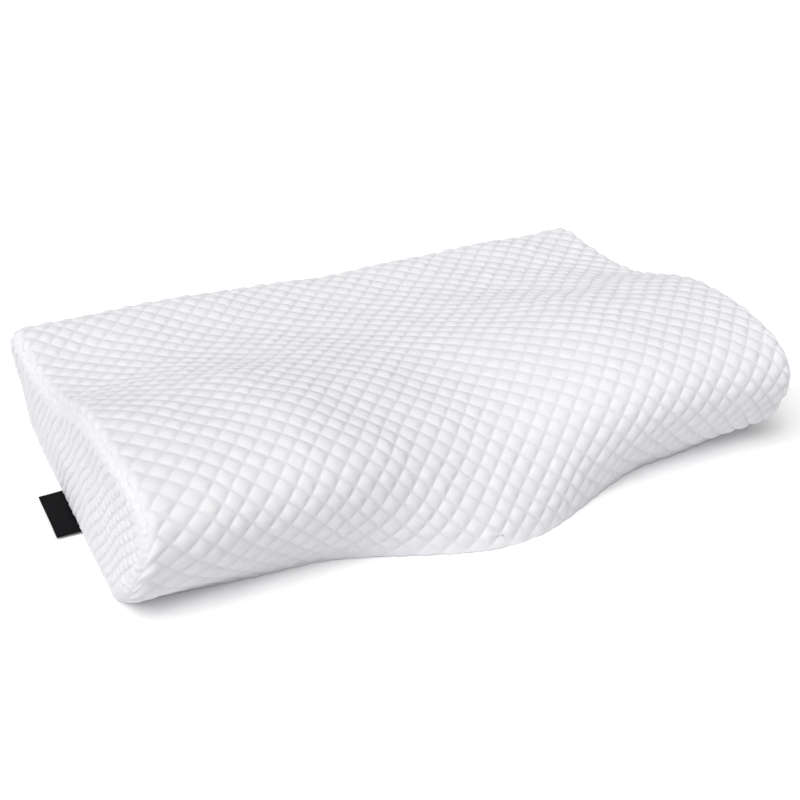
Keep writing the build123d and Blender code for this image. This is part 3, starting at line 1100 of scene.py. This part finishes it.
@dataclass
class Filling:
    """What is inside the cover: the moulded core, the knitted liner, and the seams' overlocked edges."""

    form: Form
    core_inset: float = 9.8
    liner_inset: float = 6.6
    end_share: float = 0.92
    overlock_inset: float = 5.4
    overlock_middle: float = 293.7
    overlock_half: float = 4.4
    loop_pitch: float = 3.1
    girth: float = 980.0

    def shell(self, inset: float, sections: int, around: int, ease: float = 0.0) -> Surface:
        """A closed form inside the pillow: evenly spaced loops, drawn in round the ends, with flat ends.

        Args:
            inset: how far it stays inside the pillow's surface.
            sections: how many loops it has.
            around: how many points each loop has.
            ease: how far slow, uneven ripples move it.

        Returns:
            The surface, with cloth coordinates along its two directions.
        """
        radius = self.form.edge_radius - inset
        straight = self.form.end_x - self.form.edge_radius
        limit = math.asin(self.end_share)
        turns = np.linspace(0, limit, 7)
        ends = straight + radius * np.sin(turns)
        x = np.concatenate([-ends[::-1], np.linspace(-straight, straight, sections)[1:-1], ends])
        turn = np.arcsin(np.clip((np.abs(x) - straight) / radius, 0, self.end_share))
        loops, _ = self.form.loops(x, np.full(len(x), inset) + radius * (1 - np.cos(turn)))
        picked = np.linspace(0, len(loops) - 1, around, endpoint=False).astype(int)
        loops = loops[picked]
        loops[..., 1] = np.maximum(loops[..., 1], inset)
        points = np.concatenate([np.broadcast_to(x[None, :, None], loops.shape[:2] + (1,)), loops], axis=2)
        moved = ease * ripples(Seed.LINER, points[..., 0], points[..., 1], 60.0)
        points = points + normals_of(points) * moved[..., None]
        points[..., 2] = np.maximum(points[..., 2], inset)
        first = np.arange(around)[None, :] * len(x)
        faces = [grid_faces(around, len(x), True), first, turned(first) + len(x) - 1]
        cloth = combined(x[None, :], np.arange(around)[:, None] * self.girth / around) / 10
        return Surface(self.form.splayed(points).reshape(-1, 3), faces, cloth.reshape(-1, 2))

    def make_core(self) -> bpy.types.Object:
        """The foam core."""
        return self.shell(self.core_inset, 110, 300).build("moulded_core", MouldedFoam().material())

    def make_liner(self) -> bpy.types.Object:
        """The knitted liner, a closed sock round the core."""
        return self.shell(self.liner_inset, 130, 340, 0.25).build("knitted_liner", LinerKnit().material())

    def make_overlock(self, side: Side, finish: bpy.types.Material) -> bpy.types.Object:
        """One seam's overlocked edge: a flat band of cloth round the section, whipped with thread.

        The band's own section is a flat oval carried round the pillow's section; the thread winds
        round the same oval, a little proud, while it goes once round the pillow.
        """
        x = np.array([side.value * self.overlock_middle])
        loops, lengths = self.form.loops(x, np.array([self.overlock_inset + 0.5]))
        loop, length = loops[:-1, 0], float(lengths[-1, 0])
        loop[:, 1] = np.maximum(loop[:, 1], self.overlock_inset)
        ahead = ahead_of(loop)
        inward = np.stack([np.zeros(len(loop)), -ahead[:, 1], ahead[:, 0]], axis=1)
        centre = np.column_stack([np.full(len(loop), side.value * self.overlock_middle), loop])
        turn = np.linspace(0, 2 * np.pi, 10, endpoint=False)[None, :, None]
        along_x = np.array([float(side.value), 0.0, 0.0])
        wide = self.overlock_half * np.cos(turn) * along_x
        band = centre[::2, None] + wide + 0.3 * np.sin(turn) * inward[::2, None]
        faces = grid_faces(len(centre[::2]), 10, True, True)
        cloth_band = Surface(band.reshape(-1, 3), [faces if side is Side.RIGHT else turned(faces)])
        loops_round = int(length / self.loop_pitch)
        at = np.linspace(0, 1, loops_round * 12, endpoint=False)
        place = at * len(loop)
        closed = np.arange(len(loop) + 1)
        middle, into = (
            np.column_stack([np.interp(place, closed, np.append(part[:, k], part[0, k])) for k in range(3)])
            for part in (centre, inward)
        )
        wind = 2 * np.pi * loops_round * at[:, None]
        spoke = (self.overlock_half + 0.1) * np.cos(wind) * along_x + 0.42 * np.sin(wind) * into
        thread = tube(middle + spoke, np.cos(wind) * along_x + np.sin(wind) * into, 0.17, 5, True)
        joined = Surface.joined([cloth_band, thread])
        joined.points = self.form.splayed(joined.points)
        return joined.build(f"overlocked_edge_{side.name.lower()}", finish)


@dataclass
class Zip:
    """The concealed zip along the foot of the back: its tapes, coils and stitching; the stops, slider and
    pull are left to the packed nodes.
    """

    tape_y: float = 195.1
    tape: float = 0.8
    gap: float = 1.7
    half_length: float = 250.0
    end_room: float = 3.0
    coil_depth: float = 2.3
    coil_height: float = 2.5
    coil_pitch: float = 1.5
    filament: float = 0.33
    head_reach: float = 0.2
    zip_z: float = 34.0
    stitch_line: float = 7.6
    stitch_step: float = 2.6
    back_y: float = 200.0

    def make_tape(self, half: Half, finish: bpy.types.Material) -> bpy.types.Object:
        """One tape: a thin strip with a corded bead along the edge that carries the coil."""
        corner = np.array([
            (0.0, 0.15), (0.25, 0.0), (0.8, 0.0), (1.4, 0.12), (7.0, 0.12), (14.5, 0.12), (15.0, 0.3),
            (15.0, 0.6), (14.5, 0.8), (7.0, 0.8), (1.4, 0.8), (0.8, 0.8), (0.25, 0.8), (0.0, 0.65),
        ])
        x = np.linspace(-self.half_length - self.end_room, self.half_length + self.end_room, 240)
        z = self.zip_z + half.value * (self.gap / 2 + corner[:, 0])
        y = self.tape_y + corner[:, 1] * self.tape / 0.8
        wave = 0.06 * np.sin(x / 9.0)[:, None] * np.clip(corner[:, 0] / 15, 0, 1)[None]
        points = combined(x[:, None], (y - wave).clip(self.tape_y, None), z)
        faces = grid_faces(len(x), len(corner), False, True)
        first = np.arange(len(corner))[None, :]
        ends = [first[:, ::-1], first + (len(x) - 1) * len(corner)]
        shells = [faces, *ends] if half is Half.LOWER else [turned(faces), *(turned(end) for end in ends)]
        made = Surface(points.reshape(-1, 3), shells)
        return made.build(f"zip_tape_{half.name.lower()}_woven", finish)

    def make_coil(self, half: Half, finish: bpy.types.Material) -> bpy.types.Object:
        """One coil: a filament wound into flat loops, half a turn out of step with the other coil's."""
        length = 2 * self.half_length - 2 * self.end_room
        turns = int(length / self.coil_pitch)
        at = np.linspace(0, turns, turns * 10 + 1)
        phase = 2 * np.pi * (at + (0.25 if half is Half.UPPER else 0.75))
        inner, outer = self.gap / 2 - self.head_reach, self.gap / 2 + self.coil_height
        reach = (outer - inner) / 2 - self.filament
        depth = self.coil_depth / 2 - self.filament
        oval = [np.sign(wave) * np.abs(wave) ** 0.8 for wave in (np.cos(phase), np.sin(phase))]
        x = -length / 2 + length * at / turns
        y = self.tape_y + self.tape + self.coil_depth / 2 + depth * oval[1]
        z = self.zip_z + half.value * ((inner + outer) / 2 + reach * oval[0])
        spoke = np.stack([np.zeros_like(at), np.sin(phase), half.value * np.cos(phase)], axis=1)
        made = tube(np.stack([x, y, z], axis=1), spoke, self.filament, 6, False)
        return made.build(f"zip_coil_{half.name.lower()}_wound", finish)

    def make_stitches(self, half: Half, finish: bpy.types.Material) -> bpy.types.Object:
        """One row of lockstitches: short threads that arch over the cover and dive in at both ends."""
        count = int(2 * self.half_length / self.stitch_step)
        share = np.linspace(0, 1, 7)
        turn = np.linspace(0, 2 * np.pi, 6, endpoint=False)
        thick = 0.36 * np.sin(np.pi * np.clip(share, 0.06, 0.94)) ** 0.35
        x = (share - 0.5)[:, None] * self.stitch_step * 0.9 + 0 * turn[None]
        y = (0.62 * np.sin(np.pi * share) - 0.5)[:, None] + thick[:, None] * 0.55 * np.cos(turn)[None]
        z = 0.12 * (share - 0.5)[:, None] + thick[:, None] * np.sin(turn)[None]
        one = np.stack([x, y, z], axis=2).reshape(-1, 3)
        middle = np.linspace(-self.half_length, self.half_length, count, endpoint=False)
        middle += self.stitch_step / 2
        wander = 0.05 * np.sin(middle * 1.7)
        place = combined(middle, self.back_y - 0.05, self.zip_z + half.value * self.stitch_line + wander)
        points = (one[None] + place[:, None]).reshape(-1, 3)
        faces = turned(grid_faces(len(share), len(turn), False, True))
        caps = [np.arange(6)[None], np.arange(6)[None, ::-1] + 6 * (len(share) - 1)]
        shift = (np.arange(count) * len(one))[:, None, None]
        repeated = [(part[None] + shift).reshape(-1, part.shape[1]) for part in (faces, *caps)]
        return Surface(points, repeated).build(f"zip_stitches_{half.name.lower()}_sewn", finish)


@dataclass
class FoldedLabel:
    """A plain woven label, folded in half and sewn into an end seam at the pillow's foot."""

    form: Form
    name: str
    side: Side
    middle_y: float
    length: float
    reach: float
    thickness: float
    z: float = 3.2
    seam_x: float = 301.0
    sewn_in: float = 5.0
    end_x: float = 305.0
    droop: float = 0.4

    def make(self, finish: bpy.types.Material) -> bpy.types.Object:
        """Two layers joined by a round fold at the outer edge.

        The section runs out along the top layer, half round the fold, and back along the bottom
        layer, each layer a third of the thickness, and is carried along the seam with a slow curl.
        """
        layer = self.thickness * 0.36
        fold = self.thickness / 2
        inner, outer = self.seam_x - self.sewn_in, self.end_x + self.reach
        run = np.concatenate([
            np.linspace(inner, outer - fold, 26),
            outer - fold + fold * np.sin(np.linspace(0, np.pi, 11)[1:-1]),
            np.linspace(outer - fold, inner, 26),
        ])
        rise = np.concatenate([
            np.full(26, fold), fold * np.cos(np.linspace(0, np.pi, 11)[1:-1]), np.full(26, -fold),
        ])
        out = np.gradient(np.stack([run, rise], axis=1), axis=0)
        out = np.stack([-out[:, 1], out[:, 0]], axis=1) / np.linalg.norm(out, axis=1, keepdims=True)
        inside = np.stack([run, rise], axis=1) - layer * out
        section = np.concatenate([np.stack([run, rise], axis=1), inside[::-1]])
        y = np.linspace(-self.length / 2, self.length / 2, 60)
        free = np.clip((section[:, 0] - self.end_x) / self.reach, 0, 1)
        curl = self.droop * free[None] * (np.cos(2 * np.pi * y / self.length * 0.9 + 0.6)[:, None])
        points = combined(
            self.side.value * section[:, 0],
            self.middle_y + y[:, None] * (1 - 0.006 * free[None]),
            self.z + section[:, 1] + curl,
        )
        faces = grid_faces(len(y), len(section), False, True)
        first = np.arange(len(section))
        rim = np.stack([first[:-1], first[1:]], axis=1)[: len(run) - 1]
        across = len(section) - 1 - rim
        cap = np.stack([rim[:, 0], rim[:, 1], across[:, 1], across[:, 0]], axis=1)
        points = self.form.splayed(points)
        shells = [faces, turned(cap), cap + (len(y) - 1) * len(section)]
        if self.side is Side.RIGHT:
            shells = [turned(part) for part in shells]
        lengths = np.concatenate([[0], np.cumsum(np.linalg.norm(np.diff(section, axis=0), axis=1))])
        cloth = combined(y[:, None], lengths[None]) / 10
        return Surface(points.reshape(-1, 3), shells, cloth.reshape(-1, 2)).build(self.name, finish)


# ---------------------------------------------------------------- the studio


@dataclass(frozen=True)
class SoftLight:
    """A broad, even light from one direction, with soft shadows."""

    name: str
    come_from: tuple
    strength: float
    spread: float

    def make(self) -> None:
        """Adds the light to the scene."""
        lamp = bpy.data.lights.new(self.name, "SUN")
        lamp.energy = self.strength
        lamp.angle = math.radians(self.spread)
        made = bpy.data.objects.new(self.name, lamp)
        made.rotation_euler = (-Vector(self.come_from)).to_track_quat("-Z", "Y").to_euler()
        bpy.context.scene.collection.objects.link(made)


@dataclass(frozen=True)
class Studio:
    """A white floor and dome, three broad lights, a weak surround, and the camera.

    The key light comes from the left, the front light from before the pillow, and the top light
    from straight above.
    """

    camera_place: tuple = (-0.5596, -1.0309, 0.6450)
    azimuth: float = -28.41
    elevation: float = 27.22
    lens: float = 64.86
    floor_half: float = 12.0
    dome_radius: float = 18.0
    surround: float = 0.115
    lights: tuple = (
        SoftLight("key_light", (-0.53, -0.22, 0.82), 2.14, 50.0),
        SoftLight("front_light", (-0.22, -0.53, 0.82), 0.98, 50.0),
        SoftLight("top_light", (0.0, 0.0, 1.0), 0.56, 50.0),
    )

    def make_floor(self) -> bpy.types.Object:
        """A plain white floor."""
        net = Net("studio_floor")
        speck = net.noise(net.place()[3], 3.0)
        varied = {"Base Color": net.blend(speck, (0.88, 0.88, 0.88), (0.89, 0.89, 0.89))}
        uniform = {"Roughness": 0.9, "Specular IOR Level": 0.0, "Emission Strength": 0.09}
        finish = net.skin(varied, uniform)
        half = self.floor_half / MM
        corners = np.array([(-half, -half, 0), (half, -half, 0), (half, half, 0), (-half, half, 0)], float)
        return Surface(corners, [np.array([[0, 1, 2, 3]])]).build("studio_floor", finish)

    def make_dome(self) -> bpy.types.Object:
        """A plain white dome far round the floor, that only the camera sees, so it lights nothing."""
        net = Net("studio_dome")
        speck = net.noise(net.place()[3], 0.05)
        glow = net.blend(speck, (1.0, 1.0, 1.0), (0.99, 0.99, 0.99))
        uniform = {"Base Color": (0.0, 0.0, 0.0, 1.0), "Emission Strength": 1.05}
        finish = net.skin({"Emission Color": glow}, uniform)
        rise = np.linspace(-0.2, np.pi / 2 - 0.01, 24)[:, None]
        turn = np.linspace(0, 2 * np.pi, 64, endpoint=False)[None]
        radius = self.dome_radius / MM
        points = radius * combined(np.cos(rise) * np.cos(turn), np.cos(rise) * np.sin(turn), np.sin(rise))
        dome = Surface(points.reshape(-1, 3), [grid_faces(24, 64, False, True)]).build("studio_dome", finish)
        dome.visible_diffuse = dome.visible_glossy = dome.visible_transmission = dome.visible_shadow = False
        return dome

    def make(self) -> None:
        """Floor, dome, lights, surround and camera."""
        self.make_floor()
        self.make_dome()
        for light in self.lights:
            light.make()
        world = bpy.data.worlds.new("surround")
        world.use_nodes = True
        background = world.node_tree.nodes["Background"]
        background.inputs[0].default_value = (1.0, 1.0, 1.0, 1.0)
        background.inputs[1].default_value = self.surround
        scene = bpy.context.scene
        scene.world = world
        scene.view_settings.view_transform = "Standard"
        lens = bpy.data.cameras.new("camera")
        lens.lens = self.lens
        lens.sensor_width = 36.0
        lens.clip_start, lens.clip_end = 0.01, 100.0
        camera = bpy.data.objects.new("camera", lens)
        camera.location = self.camera_place
        camera.rotation_euler = (math.radians(90 - self.elevation), 0.0, math.radians(self.azimuth))
        scene.collection.objects.link(camera)
        scene.camera = camera


def settle(piece: bpy.types.Object, body: Body, slot: Slot, *nodes: str) -> bpy.types.Object:
    """Says which body a piece rides on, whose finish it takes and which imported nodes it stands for.

    Args:
        piece: the piece.
        body: the body.
        slot: the record's finish.
        nodes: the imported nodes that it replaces.

    Returns:
        The piece.
    """
    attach(piece, body.value)
    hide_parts(*nodes)
    LOG.info("%s rides on %s as %s, for %s", piece.name, body.value, slot.value, ", ".join(nodes))
    return piece


def enamel(*nodes: str) -> None:
    """Gives packed metal nodes their enamel."""
    finish = Enamel().material()
    for name in nodes:
        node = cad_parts[name]
        if not node.material_slots:
            node.data.materials.append(finish)
        for socket in node.material_slots:
            socket.material = finish
        LOG.info("%s keeps its packed shape, in enamel", name)


def main() -> None:
    """Builds the pillow from the inside out, then the studio."""
    logging.basicConfig(level=logging.INFO)
    form = Form()
    filling = Filling(form)
    settle(filling.make_core(), Body.PILLOW, Slot.FOAM, "foam_core")
    settle(filling.make_liner(), Body.PILLOW, Slot.LINER, "inner_liner")
    thread = SpunThread().material()
    for side in Side:
        overlock = filling.make_overlock(side, thread)
        settle(overlock, Body.PILLOW, Slot.THREAD, f"seam_overlock_{side.name.lower()}")
    cover = QuiltedCover(form, Quilt(), finish=QuiltedKnit().material())
    settle(cover.make_wrap(), Body.PILLOW, Slot.QUILT, "cover_wrap")
    for side in Side:
        panel = settle(cover.make_end(side), Body.PILLOW, Slot.QUILT, f"end_panel_{side.name.lower()}")
    zipper = Zip()
    tape, coil = Herringbone().material(), CoilFilament().material()
    for half in Half:
        name = half.name.lower()
        settle(zipper.make_tape(half, tape), Body.PILLOW, Slot.TAPE, f"zip_tape_{name}")
        settle(zipper.make_coil(half, coil), Body.PILLOW, Slot.COIL, f"zip_coil_{name}")
        settle(zipper.make_stitches(half, thread), Body.PILLOW, Slot.THREAD, f"zip_stitches_{name}")
    enamel("zip_top_stops", "zip_bottom_stop", "zip_slider", "zip_pull")
    black = SatinWeave("black_satin", (0.007, 0.007, 0.008), (0.002, 0.002, 0.003), 0.05)
    tab = FoldedLabel(form, "black_tab", Side.LEFT, 19.0, 70.0, 20.0, 1.4)
    tab_piece = settle(tab.make(black.material()), Body.PILLOW, Slot.BLACK, "side_label")
    white = SatinWeave("white_satin", (0.88, 0.88, 0.90), (0.72, 0.72, 0.76), 0.5)
    care = FoldedLabel(form, "plain_care_label", Side.RIGHT, 128.0, 38.0, 24.0, 0.8)
    care_piece = settle(care.make(white.material()), Body.PILLOW, Slot.SATIN, "care_label")
    Studio().make()


if __name__ == "__main__":
    main()
